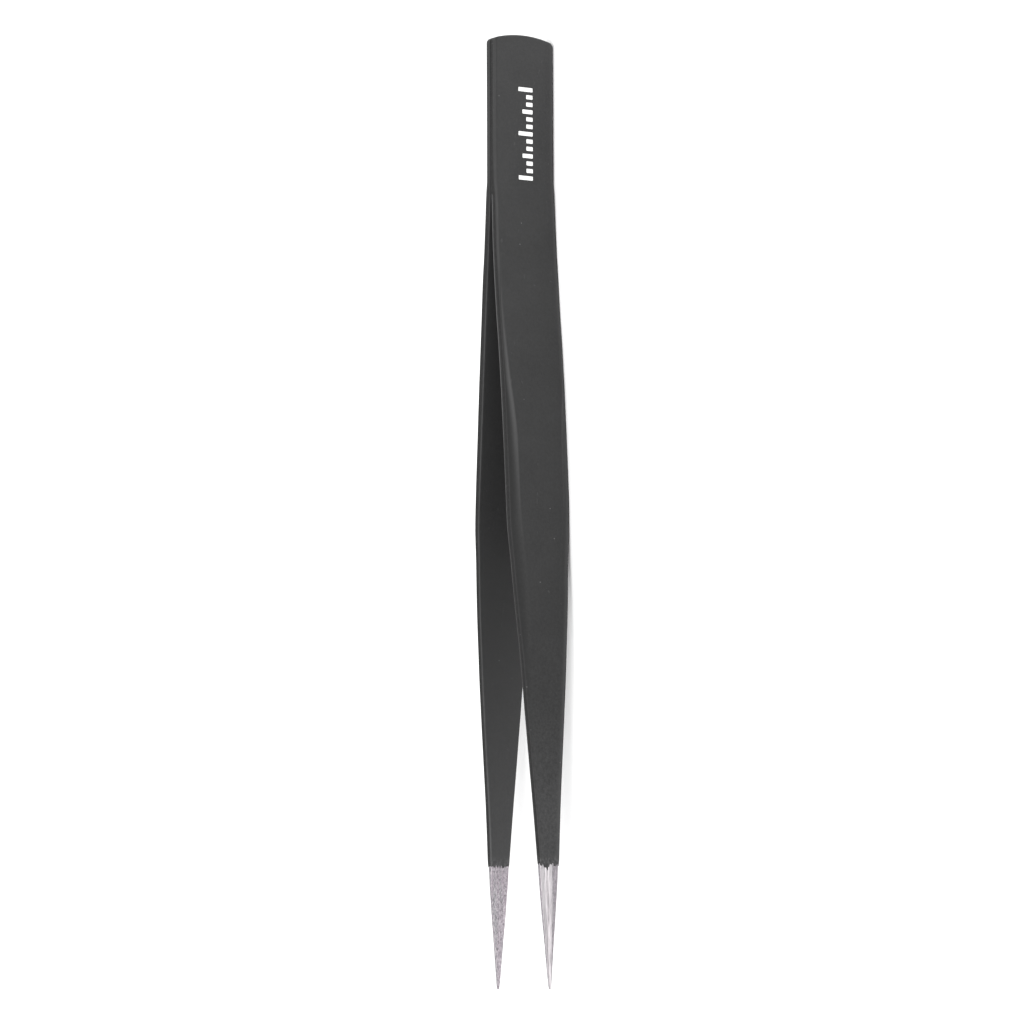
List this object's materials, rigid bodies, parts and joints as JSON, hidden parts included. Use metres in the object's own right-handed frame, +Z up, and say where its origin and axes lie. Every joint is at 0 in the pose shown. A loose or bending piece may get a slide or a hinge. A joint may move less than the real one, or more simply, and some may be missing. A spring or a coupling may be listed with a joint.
{
  "type": "precision tweezers",
  "caption": "Straight fine-point precision tweezers with welded spring arms, a matte black coating and bare ground points.",
  "frame": {"origin": "centre of the footprint of the tweezers lying on their lower long edges", "axes": "+X towards the welded tail, the points at -X; Y is the direction in which the arms open, the marked front arm at -Y; +Z up, across the width of the arms"},
  "size_m": [0.125, 0.0128, 0.0094],
  "materials": {
    "steel": "ground",
    "weld": "as welded",
    "coating": "matte",
    "ink": "matte"
  },
  "bodies": {
    "tail": {"front_tail_leaf": "steel", "rear_tail_leaf": "steel", "spot_weld_nuggets": "weld", "tail_coating": "coating", "printed_tick_marks": "ink"},
    "front_arm": {"front_arm_blank": "steel", "front_arm_coating": "coating"},
    "rear_arm": {"rear_arm_blank": "steel", "rear_arm_coating": "coating"}
  },
  "joints": [
    {"name": "front_arm_flex", "type": "hinge", "parent": "tail", "child": "front_arm", "pos_m": [0.0279, -0.00162, 0.00468], "axis": [0, 0, -1], "range_deg": [0, 3.8], "stiffness_Nm_per_rad": 1},
    {"name": "rear_arm_flex", "type": "hinge", "parent": "tail", "child": "rear_arm", "pos_m": [0.0279, 0.00162, 0.00468], "axis": [0, 0, 1], "range_deg": [0, 3.8], "stiffness_Nm_per_rad": 1}
  ],
  "couplings": [
    {"joint": "rear_arm_flex", "follows": "front_arm_flex", "ratio": 1}
  ]
}
